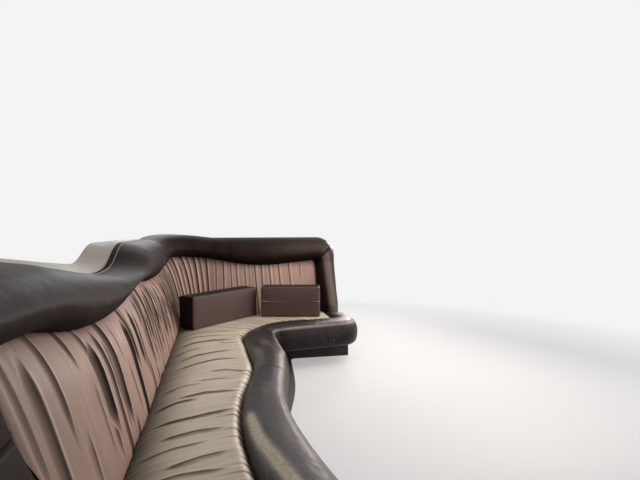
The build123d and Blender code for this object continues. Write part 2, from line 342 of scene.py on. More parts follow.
def background_rays(nt):
    """1 for rays that show the background: straight to the camera, in gloss or through glass."""
    rays = add(nt, "LightPath").outputs
    seen = calc(nt, "MAXIMUM", rays["Is Camera Ray"], rays["Is Glossy Ray"])
    return calc(nt, "MAXIMUM", seen, rays["Is Transmission Ray"])


def own_place(nt):
    """Place on the object, in its own coordinates."""
    return add(nt, "TexCoord").outputs["Object"]


def texture(nt, kind, scale, stretch=(1, 1, 1), where=None, **values):
    """A texture, stretched along some axes, by the place on the object or by other numbers."""
    place = add(nt, "Mapping", Vector=where or own_place(nt), Scale=stretch)
    return add(nt, kind, Vector=place.outputs["Vector"], Scale=scale, **values)


def cloudy(nt, scale, detail, rough, stretch=(1, 1, 1), **values):
    """Layered noise from 0 to 1."""
    node = texture(nt, "TexNoise", scale, stretch, Detail=detail, Roughness=rough, **values)
    return node.outputs["Fac"]


def bumps(nt, bsdf, rows):
    """Bump layers, one over the other: rows of source, strength, distance."""
    below = {}
    for source, strength, distance in rows:
        bump = add(nt, "Bump", Height=source, Strength=strength, Distance=distance, **below)
        below = {"Normal": bump.outputs["Normal"]}
    feed(nt, bsdf, **below)


def patchy(nt, base, spread, scale=5.5):
    """A colour that drifts a little darker and lighter from place to place."""
    ramp = add(nt, "ValToRGB", Fac=cloudy(nt, scale, 5, 0.6))
    low, high = ramp.color_ramp.elements
    low.position, high.position = 0.30, 0.72
    low.color = [c * (1 - spread) for c in base[:3]] + [1]
    high.color = [c * (1 + spread) for c in base[:3]] + [1]
    return ramp.outputs["Color"]


# Painted highlight on the lit edges of folds: how far they turn to a paler colour, and that colour
PAINTED_HIGHLIGHT_SHARE = 0.75
PALE = (0.62, 0.52, 0.44, 1)


def sewn_gathers(nt):
    """Thin lines of small gathers, from a count of gathers along the seam and a nearness to it; the
    leather uses them for bumps and for painted shade in the gathers' creases.
    """
    turn = calc(nt, "MULTIPLY", carried(nt, "run"), math.pi)
    size = calc(nt, "ABSOLUTE", calc(nt, "SINE", turn))
    return calc(nt, "MULTIPLY", remap(nt, size, 0.08, 0.50, 1, 0), carried(nt, "edge"))


def streaks(nt, scale):
    """Long fine wrinkles that lie along the folds, wherever the gathers lead them."""
    place = add(nt, "SeparateXYZ", Vector=own_place(nt)).outputs
    joined = add(nt, "CombineXYZ", X=carried(nt, "run"), Y=place["X"], Z=place["Z"])
    return cloudy(nt, 1.0, 3.0, 0.55, scale, where=joined.outputs[0])


def scuffed(nt, color, highlight_and_scuff_color):
    """A colour turned pale where the mesh says so, by painted highlights and wear, and scuffed in
    patches all over.
    """
    thin = remap(nt, cloudy(nt, 75, 8, 0.75), 0.35, 0.60, 0.55, 1.0)
    color = mixed(nt, calc(nt, "MULTIPLY", carried(nt, "rub"), thin), color, highlight_and_scuff_color)
    where = remap(nt, cloudy(nt, 6, 6, 0.7), 0.50, 0.68, 0, 0.50)
    spots = remap(nt, cloudy(nt, 90, 5, 0.8, (1, 0.25, 1)), 0.55, 0.75, 0, 0.8)
    return mixed(nt, calc(nt, "MULTIPLY", spots, where), color, highlight_and_scuff_color)


def leather(name, base, rough, spread=0.12, grain=0.30, streak=None, crumple=0.2, depth=0.0,
            gloss=0.5, highlight_and_scuff_color=None):
    """Grained leather. spread is how far its colour drifts, streak the scale of long wrinkles and
    crumple the height of small ones; depth is how far painted shade darkens the folds, and the pale
    colour given last is that of painted highlights and of scuffs."""
    mat, nt, bsdf = new_material(name)
    cells = texture(nt, "TexVoronoi", 430, feature="DISTANCE_TO_EDGE")
    pebble = remap(nt, cells.outputs["Distance"], 0, 0.12, 0, 1)
    layers = [(cloudy(nt, 34, 8, 0.62, Distortion=1.2), crumple, 0.003)]
    color = patchy(nt, base, spread, 26 if highlight_and_scuff_color else 5.5)
    if streak:
        lines, sewn = streaks(nt, streak), sewn_gathers(nt)
        layers += [(lines, 0.45, 0.004), (remap(nt, sewn, 0, 1, 1, 0), 0.7, 0.004)]
        # Painted light and shade of the long wrinkles: paler on their ridges, darker in their hollows
        color = mixed(nt, 0.35, color, remap(nt, lines, 0.35, 0.65, 0.70, 1.25), "MULTIPLY")
        # Painted shade: colour darkened along the lines of small gathers
        color = mixed(nt, 1.0, color, remap(nt, sewn, 0, 1, 1, 0.10), "MULTIPLY")
    bumps(nt, bsdf, layers + [(pebble, grain, 0.0005)])
    color = mixed(nt, 0.30, color, remap(nt, pebble, 0, 1, 0.55, 1), "MULTIPLY")
    rough_map = remap(nt, pebble, 0, 1, rough + 0.12, rough)
    # Painted shade where the mesh's fold number is above 0, painted highlight where it is below 0
    if depth:
        fold = carried(nt, "fold")
        color = mixed(nt, 1.0, color, remap(nt, fold, 0, 1, 1, 1 - depth), "MULTIPLY")
        color = mixed(nt, remap(nt, fold, -1, 0, PAINTED_HIGHLIGHT_SHARE, 0), color, PALE)
        rough_map = mixed(nt, fold, rough_map, (0.85, 0.85, 0.85, 1))
    if highlight_and_scuff_color:
        color = scuffed(nt, color, highlight_and_scuff_color)
    feed(nt, bsdf, Base_Color=color, Roughness=rough_map, Specular_IOR_Level=gloss)
    return mat


def plywood():
    """Raw birch ply: long grain, with darker rings here and there."""
    mat, nt, bsdf = new_material("plywood")
    grain = cloudy(nt, 9, 9, 0.65, (1, 0.12, 1), Distortion=1.6)
    rings = texture(nt, "TexWave", 14, (1, 0.15, 1), Distortion=7.0, Detail=3.0)
    color = patchy(nt, srgb(196, 164, 122), 0.16, 3)
    color = mixed(nt, remap(nt, grain, 0.4, 0.75, 0, 0.5), color, srgb(140, 104, 66))
    color = mixed(nt, remap(nt, rings.outputs["Fac"], 0.75, 1, 0, 0.35), color, srgb(120, 86, 54))
    feed(nt, bsdf, Base_Color=color, Roughness=remap(nt, grain, 0, 1, 0.55, 0.75))
    bumps(nt, bsdf, [(grain, 0.25, 0.001)])
    return mat


def zinc():
    """Zinc-plated steel with a faint spangle and smears."""
    mat, nt, bsdf = new_material("zinc_steel")
    spangle = texture(nt, "TexVoronoi", 160)
    smear = cloudy(nt, 22, 6, 0.7)
    color = mixed(nt, remap(nt, spangle.outputs["Distance"], 0, 1, 0, 0.5), srgb(190, 192, 194),
                  srgb(150, 152, 156))
    feed(nt, bsdf, Base_Color=color, Roughness=remap(nt, smear, 0.3, 0.7, 0.28, 0.5), Metallic=1.0)
    bumps(nt, bsdf, [(smear, 0.12, 0.0008)])
    return mat


# Scales of the long wrinkles: across the gathers, then along x and z
UPRIGHT_STREAK = (1.3, 2, 1.8)
SEAT_STREAK = (1.1, 2.5, 2)
BACK = leather("back_leather", srgb(168, 139, 126), 0.40, 0.10, 0.22, UPRIGHT_STREAK, 0.05, 0.95, 0.25)
SEAT = leather("seat_leather", srgb(203, 192, 172), 0.40, 0.10, 0.22, SEAT_STREAK, 0.08, 0.92, 0.30)
BLACK = leather("roll_leather", srgb(38, 29, 27), 0.40, 0.18, 0.35, None, 0.16, 0.8, 0.04)
# Front roll leather: its pale marks are painted highlights and wear, its scuffs are wear
WORN_SHEEN = leather("worn_sheen_leather", srgb(35, 29, 29), 0.29, 0.45, 0.45, None, 0.45, 0.8, 0.15,
               srgb(196, 184, 164))
# The ledge is black leather; its pale colour is painted glare from the windows
LEDGE_GLARE = leather("ledge_glare_leather", srgb(150, 144, 134), 0.42, 0.12, 0.35, None, 0.12, 0, 0.25)
BROWN = leather("cushion_leather", srgb(88, 70, 67), 0.45, 0.08, 0.30, None, 0.08, 0.6, 0.18)
# Pale colour of the folded cushion's lip cord: painted highlight on the lit lip
CUSHION_LIP_HIGHLIGHT = leather("cushion_lip_highlight", srgb(150, 122, 116), 0.40, 0.10, 0.40, None, 0.10, 0, 0.45)
THREAD = leather("thread", srgb(205, 198, 186), 0.6, 0.15, 0.6, None, 0.3, 0, 0.2)
KICK = leather("kick_cover", srgb(34, 33, 35), 0.55, 0.15, 0.5, None, 0.2, 0, 0.3)
PLYWOOD = plywood()
ZINC = zinc()


# Folds of the gathered backs: place at the top, place at the foot, from and to height fraction,
# depth and half-width; lengths in millimetres along the bench
SIDE_FOLDS = [
    (-1250, -1250, 0.30, 1.0, 11, 4), (-1205, -1200, 0.05, 0.9, 18, 7),
    (-1140, -1135, 0.40, 1.0, 8, 5), (-1000, -998, 0.68, 1.0, 12, 5),
    (-1080, -1075, 0.05, 0.5, 6, 7), (-950, -945, 0.10, 0.7, 5, 6),
    (-895, -890, 0.05, 1.0, 10, 6), (-860, -868, 0.22, 0.90, 30, 10),
    (-795, -800, 0.03, 0.97, 15, 7), (-766, -770, 0.30, 0.9, 6, 4),
    (-745, -750, 0.10, 0.95, 7, 4), (-715, -722, 0.12, 1.0, 21, 8),
    (-668, -680, 0.0, 0.22, 12, 6), (-640, -640, 0.5, 0.98, 4, 5),
    (-598, -600, 0.05, 0.6, 4, 8), (-500, -502, 0.0, 0.88, 34, 10),
    (-452, -448, 0.32, 1.0, 18, 7), (-425, -420, 0.5, 1.0, 7, 5),
    (-362, -360, 0.25, 0.88, 26, 8), (-320, -318, 0.10, 0.85, 8, 6),
    (-288, -290, 0.0, 0.35, 10, 6), (-236, -240, 0.42, 0.93, 13, 7),
    (-172, -190, 0.12, 0.95, 17, 7), (-130, -128, 0.55, 1.0, 6, 5),
    (-72, -76, 0.25, 1.0, 16, 8), (-20, -24, 0.0, 0.5, 6, 6),
    (40, 36, 0.45, 0.9, 7, 6), (95, 88, 0.35, 1.0, 9, 6),
    (160, 92, 0.12, 0.98, 24, 7), (205, 196, 0.0, 0.45, 10, 6),
    (255, 250, 0.30, 0.95, 8, 7), (336, 290, 0.10, 0.95, 19, 9),
    (392, 380, 0.0, 0.6, 7, 7), (440, 436, 0.45, 1.0, 9, 6),
    (492, 400, 0.06, 0.80, 15, 12), (548, 538, 0.3, 1.0, 9, 6),
    (604, 585, 0.05, 0.95, 13, 8), (660, 648, 0.2, 1.0, 15, 7),
    (705, 692, 0.05, 0.9, 10, 6), (752, 738, 0.1, 1.0, 17, 8),
    (804, 792, 0.05, 1.0, 13, 7), (848, 838, 0.2, 0.95, 9, 6),
    (892, 880, 0.03, 1.0, 18, 8), (938, 930, 0.1, 0.98, 11, 6),
]
# Small folds between them, from the crest's swoop to the corner
rng = np.random.default_rng(5)
for spot in range(-230, 950, 36):
    small = spot + rng.uniform(-10, 10)
    SIDE_FOLDS.append((small, small - rng.uniform(0, 14), rng.uniform(0.0, 0.45), rng.uniform(0.6, 1.0),
                       rng.uniform(8, 17), rng.uniform(3, 5)))
REAR_FOLDS = [
    (-170, -160, 0.0, 1.0, 12, 6), (-118, -104, 0.05, 1.0, 15, 7), (-64, -50, 0.1, 1.0, 12, 6),
    (-22, -6, 0.0, 1.0, 15, 7), (36, 52, 0.1, 1.0, 13, 6), (66, 84, 0.3, 1.0, 8, 5),
    (112, 132, 0.0, 1.0, 16, 7), (156, 178, 0.05, 1.0, 14, 7), (214, 236, 0.0, 1.0, 16, 7),
    (282, 302, 0.05, 1.0, 17, 7), (366, 380, 0.05, 1.0, 16, 7), (446, 452, 0.55, 1.0, 10, 5),
]
CORNER_FOLDS = [
    (14, 20, 0.05, 1.0, 14, 7), (52, 62, 0.1, 1.0, 17, 8), (92, 100, 0.0, 0.9, 11, 6),
    (132, 146, 0.05, 1.0, 19, 8), (176, 186, 0.1, 1.0, 12, 6), (216, 232, 0.0, 1.0, 17, 8),
    (260, 272, 0.1, 0.95, 12, 6), (300, 318, 0.0, 1.0, 18, 8), (342, 354, 0.1, 1.0, 11, 6),
    (386, 402, 0.0, 1.0, 18, 8), (432, 446, 0.05, 1.0, 12, 6), (478, 494, 0.0, 1.0, 16, 7),
]
FOLD_REACH = 3.6
FOLD_DEPTH = 0.60
FOLD_LIP = 0.16
CREST_EDGE = 0.0026
GATHER_PITCH = 0.017


def swept(x, w, deep):
    """Height and shade across a fold that climbs out of its hollow to a sharp crest, then dies
    away. w is its half-width; the shade is above 0 where it is dark and below 0 where it is lit."""
    crest = x - 0.5 * w
    reach = FOLD_REACH * w
    flank = np.clip(1 + crest / reach, 0, 1)
    fall = smooth(crest, -reach - 1.1 * w, -reach)
    lip = FOLD_LIP * deep
    height = -deep * fall + (deep + lip) * flank ** 2
    past = lip * np.exp(-np.maximum(crest, 0) / (1.6 * w))
    lit = -bell(crest - CREST_EDGE - 0.4 * w, 0.6 * w)
    edge = np.where(crest < CREST_EDGE, 1 - crest / CREST_EDGE, lit)
    return np.where(crest > 0, past, height), np.where(crest > 0, edge, fall * flank)


def knife(x, w, deep):
    """Height and shade across a pressed pleat: a sharp drop, then a quick turn out to flat."""
    climb = np.clip(x / (4.0 * w), 0, 1)
    out = 0.25 * deep * bell(x - 1.6 * w, 1.5 * w)
    height = np.where(x < 0, -deep * smooth(x, -0.8 * w, 0), -deep * (1 - climb ** 0.45)) + out
    return height, bell(x, 0.55 * w) - bell(x / w - 1.9, 0.9)


def folds(u, t, table, shape, seed):
    """Height and shade that a table of folds gives the surface, at u metres along it and height t
    from 0 at the foot to 1 at the top."""
    height, dark, light = np.zeros((3, *u.shape))
    for k, (top, foot, t0, t1, deep, wide) in enumerate(table):
        wander = 0.004 * noise(t * 2.3 + k * 7.1, k * 3.3, seed)
        centre = (foot + (top - foot) * t) / 1000 + wander
        fade = np.ones(u.shape)
        if t0 > 0.03:
            fade *= smooth(t, t0 - 0.02, t0 + 0.22)
        if t1 < 0.99:
            fade *= 1 - smooth(t, t1 - 0.16, t1 + 0.02)
        w = wide / 1000 * (0.35 + 0.65 * fade)
        rise, shade = shape(u - centre, w, deep / 1000 * FOLD_DEPTH)
        height += rise * fade
        dark = np.maximum(dark, np.maximum(shade, 0) ** 2 * fade * min(1.25, 0.70 + deep / 36))
        light = np.maximum(light, np.maximum(-shade, 0) * fade * min(1.0, 0.40 + deep / 30))
    return height, dark - light * (1 - np.minimum(1, 4 * dark))


def gathers(u, t, seed, amount):
    """Fine gathers at the two borders and long soft wrinkles between them: their height, the count
    of gathers along the pad and the nearness to a border."""
    warp = u + 0.005 * noise(u * 22, 0, seed)
    run = warp / GATHER_PITCH + 0.6 * noise(u * 9, 0, seed + 1)
    teeth = 1 - ripple(run)
    border = np.exp(-(1 - t) / 0.06) + 0.8 * np.exp(-t / 0.05)
    soft = lumps(u, t, (0.00096, 50, 1.3, seed + 2), (0.00064, 105, 2.2, seed + 3),
                 (0.0026, 16, 1.1, seed + 4))
    height = amount * soft - 0.0032 * teeth ** 2 * border
    return height, run, border * (0.55 + 0.35 * noise(u * 30, 0, seed + 5))


PAD_FOOT = 0.222
PAD_THICK = 0.078
PAD_PROUD = 0.006
CROWN = spline([(0, 0), (0.02, 0.24), (0.07, 0.42), (0.2, 0.60), (0.4, 0.82), (0.6, 1.0),
                (0.75, 0.98), (0.87, 0.74), (0.95, 0.40), (1, -0.05)], 12)
even = np.linspace(0, 1, 72)
PAD_ROWS = 0.72 * even + 0.14 * (1 - np.cos(even * math.pi))


def gathered_back(name, node, place, us, top, crown, table, shape, seed, ends, full):
    """One stretch of gathered back, at the places us along it. place turns length, depth from the
    crease and height into x, y, z; ends is 0 where the pad closes, full is its share of wrinkles."""
    U, T = np.meshgrid(us, PAD_ROWS, indexing="ij")
    Z = PAD_FOOT + T * (top(U) - PAD_FOOT)
    lean = RAKE * np.maximum(Z - KNEE_Z, 0)
    rise, dark = folds(U, T, table, shape, seed)
    fine, run, edge = gathers(U, T, seed + 10, full(U))
    out = crown * np.interp(T, CROWN[:, 0], CROWN[:, 1]) + rise + fine
    keep = ends(U)
    out = out * keep - 0.004 * (1 - keep)
    front = place(U, lean + PAD_PROUD - out, Z + 0.2 * out)
    back = place(U, lean + PAD_THICK, Z)
    # The fold shade goes into the colour: painted shade in the folds' hollows, painted highlight on
    # their lit edges
    obj = slab(name, front, back, "gathered_leather", BACK, fold=np.clip(dark, -1, 1) * keep,
               run=run, edge=edge * keep)
    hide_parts(node)


# Places on the three stretches, from length along them, depth behind the crease and height
def on_side(u, depth, z):
    return np.stack([X_CREASE - depth, u, z], -1)


def on_rear(u, depth, z):
    return np.stack([u, Y_CREASE + depth, z], -1)


CORNER_ARC = math.pi / 2 * (CORNER_R + 0.131)


def on_corner(u, depth, z):
    a = u / CORNER_ARC * math.pi / 2
    r = CORNER_R + depth
    return np.stack([X_TURN - r * np.cos(a), Y_TURN + r * np.sin(a), z], -1)


# Heights of the pads' tops, by the length along the stretch
def corner_top(u):
    a = u / CORNER_ARC * math.pi / 2
    return 0.617 + 0.041 * smooth(a, 0, 0.6) - 0.020 * smooth(a, 1.0, math.pi / 2)


def rear_top(u):
    return rear_low(u) + 0.010 - 0.05 * smooth(u, SEAT_END_X - 0.045, SEAT_END_X) ** 2


def backs():
    gathered_back("gathered_back_side", "back_pad_side", on_side,
                  np.arange(Y_PAD_NEAR + 0.002, Y_TURN - 0.0004, 0.0025),
                  lambda u: side_low(u) + 0.010, 0.034, SIDE_FOLDS, swept, 11,
                  lambda u: np.clip((u - Y_PAD_NEAR) / 0.16, 0, 1) ** 0.55,
                  lambda u: 0.5 + 0.5 * smooth(u, -0.95, -0.75))
    gathered_back("gathered_back_corner", "back_pad_corner", on_corner,
                  np.linspace(0, CORNER_ARC, 196), corner_top, 0.026, CORNER_FOLDS, swept, 12,
                  lambda u: np.ones(u.shape), lambda u: np.ones(u.shape))
    gathered_back("gathered_back_rear", "back_pad_rear", on_rear,
                  np.arange(X_TURN, SEAT_END_X - 0.001, 0.0028), rear_top, 0.022, REAR_FOLDS,
                  knife, 13, lambda u: 1 - smooth(u, SEAT_END_X - 0.03, SEAT_END_X),
                  lambda u: 0.6 - 0.4 * smooth(u, 0.35, 0.5))


backs()

# Seat pad folds in plan: depth and half-width in millimetres, then y, x points in metres
SEAT_FOLDS = [
    (13, 8, (-1.16, -0.36), (-1.12, -0.25), (-1.09, -0.12)),
    (8, 6, (-1.05, -0.37), (-1.00, -0.25), (-0.99, -0.12)),
    (9, 7, (-0.97, -0.30), (-0.92, -0.20), (-0.90, -0.12)),
    (7, 6, (-0.90, -0.37), (-0.85, -0.27), (-0.82, -0.18)),
    (9, 7, (-0.80, -0.33), (-0.755, -0.22), (-0.74, -0.13)),
    (15, 7, (-0.70, -0.36), (-0.66, -0.25), (-0.63, -0.18), (-0.60, -0.09)),
    (14, 7, (-0.565, -0.37), (-0.51, -0.29), (-0.49, -0.22)),
    (12, 7, (-0.48, -0.31), (-0.43, -0.20), (-0.425, -0.13), (-0.44, -0.06)),
    (6, 6, (-0.40, -0.36), (-0.35, -0.28), (-0.33, -0.20)),
    (5, 5, (-0.31, -0.25), (-0.29, -0.15), (-0.30, -0.06)),
    (8, 6, (-0.20, -0.20), (-0.19, -0.12), (-0.22, -0.04)),
    (14, 6, (-0.15, -0.34), (-0.07, -0.24), (-0.02, -0.16), (-0.015, -0.10), (-0.03, -0.04)),
    (14, 6, (-0.03, -0.34), (0.06, -0.26), (0.10, -0.18), (0.12, -0.12), (0.13, -0.06)),
    (7, 5, (0.10, -0.37), (0.16, -0.30), (0.20, -0.22)),
    (15, 7, (0.22, -0.36), (0.30, -0.28), (0.345, -0.18), (0.35, -0.10), (0.33, -0.05)),
    (8, 6, (0.29, -0.16), (0.28, -0.10), (0.27, -0.05)),
    (8, 6, (0.36, -0.36), (0.43, -0.27), (0.46, -0.17), (0.45, -0.08)),
    (7, 6, (0.47, -0.37), (0.53, -0.27), (0.56, -0.14), (0.54, -0.02)),
    (6, 5, (0.60, -0.30), (0.63, -0.18), (0.62, -0.06)),
    (8, 5, (0.74, -0.09), (0.76, -0.01)),
]
# Matching points on the crease and on the front border, x and y in millimetres
SEAT_PAIRS = [
    ((-390, -1288), (-24, -1288)), ((-390, -1160), (-60, -1100)), ((-390, -900), (-98, -810)),
    ((-390, -700), (-90, -600)), ((-390, -500), (-55, -400)), ((-390, -160), (-8, -30)),
    ((-390, 200), (-18, 330)), ((-390, 560), (4, 560)), ((-390, 860), (40, 620)),
    ((-372, 1043), (85, 680)), ((-273, 1142), (150, 725)), ((-150, 1160), (220, 752)),
    ((100, 1160), (340, 775)), ((350, 1160), (450, 782)), ((577, 1160), (577, 829)),
]
KEY_STEPS = 4000


def key_fractions(path, keys):
    """Length fractions of the places on a path nearest to some key points, and its length."""
    fine = along(path, KEY_STEPS + 1)
    near = [np.argmin(np.linalg.norm(fine - np.array(k) / 1000, axis=1)) / KEY_STEPS for k in keys]
    return np.array(near), lengths(path)[-1]


def stations(path_a, path_b, pairs, step):
    """Matching points along two lines, spaced by step along the longer one, tied at key pairs."""
    fa, la = key_fractions(path_a, [p[0] for p in pairs])
    fb, lb = key_fractions(path_b, [p[1] for p in pairs])
    at_a, at_b = [], []
    for i in range(len(pairs) - 1):
        length = max((fa[i + 1] - fa[i]) * la, (fb[i + 1] - fb[i]) * lb)
        w = np.linspace(0, 1, max(2, int(round(length / step))), endpoint=False)
        at_a.append(fa[i] + (fa[i + 1] - fa[i]) * w)
        at_b.append(fb[i] + (fb[i + 1] - fb[i]) * w)
    box = np.ones(9) / 9

    def eased(parts, last):
        """Fractions smoothed over nine stations, so that the spacing changes gently."""
        f = np.append(np.concatenate(parts), last)
        return np.concatenate([f[:4], np.convolve(f, box, "valid"), f[-4:]])

    return along(path_a, at=eased(at_a, fa[-1])), along(path_b, at=eased(at_b, fb[-1]))


def beside(X, Y, pts):
    """Signed distance from a line of points, and the place along it from 0 to 1."""
    best = np.full(X.shape, 9.0)
    place = np.zeros(X.shape)
    for i in range(len(pts) - 1):
        (ax, ay), (bx, by) = pts[i], pts[i + 1]
        dx, dy = bx - ax, by - ay
        t = np.clip(((X - ax) * dx + (Y - ay) * dy) / (dx * dx + dy * dy), 0, 1)
        gap = np.hypot(X - ax - t * dx, Y - ay - t * dy)
        side = np.sign((Y - ay) * dx - (X - ax) * dy)
        closer = gap < np.abs(best)
        best = np.where(closer, gap * side, best)
        place = np.where(closer, (i + t) / (len(pts) - 1), place)
    return best, place


SEAT_EDGE_Z = 0.236
SEAT_LOW_Z = DECK_TOP + 0.0015
SEAT_DEPTH = 0.75


def seat_folds(X, Y):
    """Height, painted shade and painted highlight that the long folds give the seat."""
    height, dark, light = np.zeros((3, *X.shape))
    for deep, wide, *line in SEAT_FOLDS:
        best, place = beside(X, Y, along([(x, y) for y, x in line], 14))
        ends = window(place, 0, 0.22, 0.72, 1)
        w = 0.7 * wide / 1000 * (0.4 + 0.6 * ends)
        rise, shade = swept(best, w, deep / 1000 * SEAT_DEPTH)
        height += rise * ends
        dark = np.maximum(dark, np.maximum(shade, 0) ** 3.5 * ends ** 0.5 * (0.7 + deep / 25))
        light = np.maximum(light, np.maximum(-shade, 0) * ends * 0.4)
    return height, dark, light


def seat_gathers(B, S, V, rear):
    """Height of the seat's gathers and wrinkles, the count of gathers along the border B, and the
    nearness to a border."""
    pitch = 0.042 + 0.012 * smooth(B[:, 1], -0.5, -0.1) - 0.022 * smooth(B[:, 1], 0.40, 0.66)
    count = columns(np.cumsum(np.gradient(lengths(B)) / pitch), V.shape[1])
    run = count + 0.25 * noise(S * 20, 0, 51) + 0.4 * noise(S * 9, 0, 52)
    teeth = 1 - ripple(run)
    sewn = np.exp(-(1 - V) / (0.095 + 0.12 * rear)) * (0.75 + 0.35 * noise(S * 14, 0, 53))
    sewn *= 1 + 0.9 * rear
    tucked = np.exp(-V / 0.06)
    reach = 0.13 + 0.20 * rear + (0.08 + 0.06 * rear) * noise(count, 0, 57)
    edge = np.exp(-((1 - V) / reach) ** 1.5) + 0.4 * tucked
    soft = lumps(S, V, (0.00144, 42, 1.4, 54), (0.00096, 85, 2.2, 55), (0.0036, 12, 1.1, 56))
    return soft * (1 - 0.5 * rear) - 0.0035 * teeth ** 1.5 * sewn - 0.0040 * teeth * tucked, run, edge


def seat_pad():
    """Gathered seat: one pad round the corner, between the crease A and the wavy border B."""
    turns = np.linspace(0, math.pi / 2, 20)
    arc = [(X_TURN - CORNER_R * math.cos(a), Y_TURN + CORNER_R * math.sin(a)) for a in turns]
    crease = np.array([(X_CREASE, Y_PAD_NEAR)] + arc + [(SEAT_END_X, Y_CREASE)])
    A, B = stations(crease, PAD_BORDER, SEAT_PAIRS, 0.0023)
    v = np.concatenate([np.linspace(0, 0.12, 9), np.linspace(0.14, 0.82, 34), np.linspace(0.83, 1, 18)])
    P = np.zeros((len(A), len(v), 3))
    P[:, :, :2] = A[:, None] + v[None, :, None] * (B - A)[:, None]
    V = v[None] * np.ones((len(A), 1))
    S = columns(lengths(0.5 * (A + B)), len(v))
    rear = smooth(P[:, :, 1], 0.50, 0.66)
    rise_back = 1 - (1 - np.clip(V / 0.42, 0, 1)) ** 2.4
    rise_front = 1 - (1 - np.clip((1 - V) / 0.12, 0, 1)) ** 2.4
    z = SEAT_EDGE_Z - 0.006 * (1 - rear) + (0.030 - 0.016 * rear) * rise_back * rise_front
    height, dark, light = seat_folds(P[:, :, 0], P[:, :, 1])
    fine, run, edge = seat_gathers(B, S, V, rear)
    z += height * (1 - 0.5 * rear) + fine
    # Painted shade: darker towards the crease and along the front border
    dark += 0.95 * np.exp(-(V / 0.24) ** 1.5) + 0.45 * smooth(V, 0.92, 1.0)
    dark = np.clip(np.where(dark > 0.05, dark, -light), -1, 1)
    P[:, :, 2] = np.where(rear > 0.98, np.minimum(z, SEAT_TOP - 0.0005), z)
    low = P.copy()
    low[:, :, 2] = SEAT_LOW_Z
    obj = slab("gathered_seat", P, low, "gathered_leather", SEAT, fold=dark, run=run, edge=edge)
    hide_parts("seat_pad")


seat_pad()

# Rolls. The section of the top roll runs from its back seam over the face to its lower line: depth
# from front to back, and height from lower to upper line, both as fractions
ROLL_SECTION = [(1.00, 1.000), (0.80, 0.990), (0.50, 0.935), (0.24, 0.800), (0.075, 0.590),
                (0.00, 0.370), (0.035, 0.185), (0.15, 0.050)]
ROLL_FRONT = 0.066
FACE_POINTS, FACE_MIDDLE = 46, 20
MITRE_Z, MITRE_SLOPE = 0.614, 0.95
TOP_STITCH_Y = 0.673
LEDGE_LOW_Z = 0.601
LEDGE_POINTS = 34


def roll_ring(front, back, tuck):
    """Section of a roll as depth out from the crease and fraction from lower to upper line."""
    ctrl = [(front + q * (back - front), a) for q, a in ROLL_SECTION] + [(tuck, -0.030)]
    face = along(spline(ctrl), FACE_POINTS)
    shut = np.array([face[-1], (tuck + 0.012, -0.02), (back - 0.004, 0.0), face[0]])
    return np.concatenate([face, along(shut, 10)[1:-1]])


def corner_low(a):
    """Height of the roll's lower line round the corner, by the angle turned."""
    arch = 0.655 - 0.9 + np.sqrt(0.81 - (0.33 * np.sin(a - math.pi / 4)) ** 2)
    return arch - 0.0173 * (1 - smooth(a, 0, 0.5)) + 0.0037 * smooth(a, 1.1, math.pi / 2)


def corner_high(a):
    """Height of the roll's crest round the corner."""
    return 0.806 - 1.16 + np.sqrt(1.3456 - (0.36 * np.sin(a - math.pi / 4)) ** 2)


END_ROLL_CORNER = 0.130
END_ROLL_FOOT = 0.205
INNER_R = 0.028
UPRIGHT_Z = 0.580


def end_lines():
    """Inner and outer line of the roll along the rear bench and down the right end, in x and z."""
    xs = np.arange(X_TURN, SEAT_END_X - INNER_R, 0.010)
    inner = [(x, float(rear_low(x))) for x in xs]
    outer = [(x, REAR_CREST) for x in xs]
    cx, cz = SEAT_END_X - INNER_R, float(rear_low(SEAT_END_X)) - INNER_R
    for w in np.linspace(0, math.pi / 2, 26)[1:]:
        inner.append((cx + INNER_R * math.sin(w), cz + INNER_R * math.cos(w)))
    mx, mz = X_END - END_ROLL_CORNER, REAR_CREST - END_ROLL_CORNER
    edge = [(SEAT_END_X - INNER_R, REAR_CREST), (mx, REAR_CREST)]
    edge += [(mx + END_ROLL_CORNER * math.sin(w), mz + END_ROLL_CORNER * math.cos(w))
             for w in np.linspace(0, math.pi / 2, 16)] + [(X_END, UPRIGHT_Z + 0.005)]
    outer += [tuple(p) for p in along(edge, 26)[1:]]
    zs = np.arange(UPRIGHT_Z, END_ROLL_FOOT - 0.005, -0.010)
    return inner + [(SEAT_END_X, z) for z in zs], outer + [(X_END, z) for z in zs]


def top_roll_rings():
    """Sections of the roll from the near end on, and how many of them are on the side bench."""
    rings = []
    for y in np.arange(Y_NEAR + 0.001, Y_TURN, 0.010):
        lo, hi = float(side_low(y)), float(side_high(y))
        sec = roll_ring(ROLL_FRONT, ROLL_BACK, RAKE * (lo - KNEE_Z))
        rings.append(on_side(np.full(len(sec), y), sec[:, 0], lo + sec[:, 1] * (hi - lo)))
    side_count = len(rings)
    for a in np.arange(0, math.pi / 2, 0.026):
        lo, hi = float(corner_low(a)), float(corner_high(a))
        back = ROLL_BACK + 0.010 * float(smooth(a, 0, 1.5))
        sec = roll_ring(ROLL_FRONT, back, RAKE * (lo - KNEE_Z))
        u = np.full(len(sec), a / (math.pi / 2) * CORNER_ARC)
        rings.append(on_corner(u, sec[:, 0], lo + sec[:, 1] * (hi - lo)))
    for (xi, zi), (xo, zo) in zip(*end_lines()):
        z_mid = 0.5 * (zi + min(zo, zi + 0.02))
        lean = max(0.0, min(1.0, (0.640 - z_mid) / 0.340))
        front = ROLL_FRONT - 0.211 * lean * float(smooth(xo, 0.60, X_END))
        sec = roll_ring(front, 0.257, max(RAKE * (zi - KNEE_Z), front + 0.03))
        x = xi + sec[:, 1] * (xo - xi)
        rings.append(on_rear(x, sec[:, 0], zi + sec[:, 1] * (zo - zi)))
    return np.array(rings), side_count


